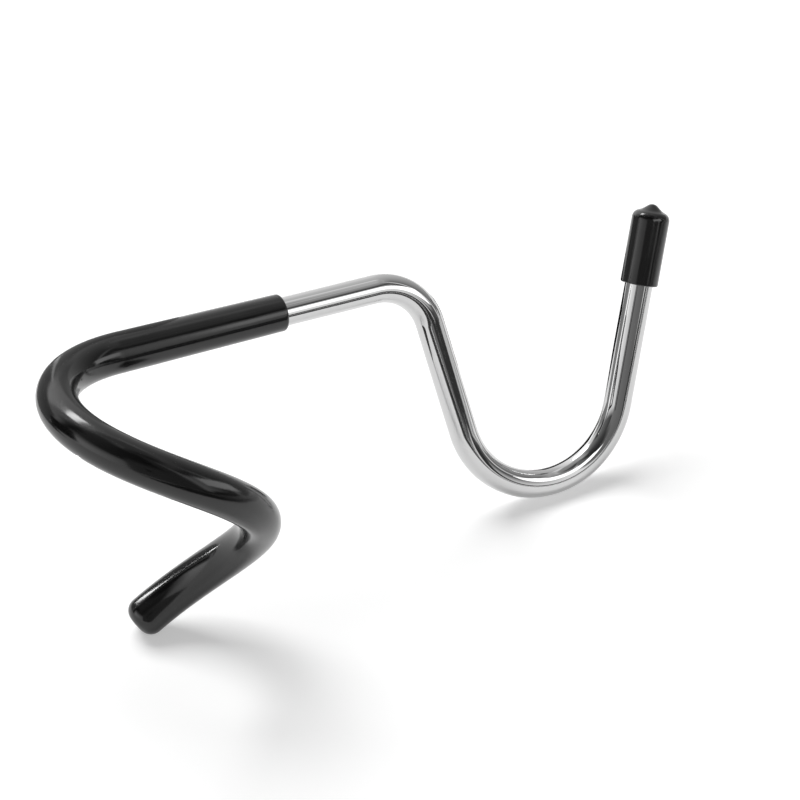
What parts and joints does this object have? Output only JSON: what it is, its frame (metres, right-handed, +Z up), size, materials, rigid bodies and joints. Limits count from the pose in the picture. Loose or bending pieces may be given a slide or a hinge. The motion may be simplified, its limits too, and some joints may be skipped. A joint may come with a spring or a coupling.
{
  "type": "lantern hook",
  "caption": "Bent chrome rod hook that grips a pole with a vinyl-covered spiral and holds a lantern in a U-shaped seat with a capped tip.",
  "frame": {"origin": "on the axis of the pole that the spiral grips, level with the place where the arm leaves the spiral", "axes": "+Z up along the pole, +X along the arm towards the hook, +Y across the pole towards the arm"},
  "size_m": [0.1496, 0.0476, 0.0775],
  "materials": {
    "chrome_plate": "mirror polished plating",
    "black_vinyl": "glossy soft vinyl"
  },
  "bodies": {
    "root": {"hook_rod": "chrome_plate", "grip_sleeve": "black_vinyl", "tip_cap": "black_vinyl"}
  },
  "joints": []
}
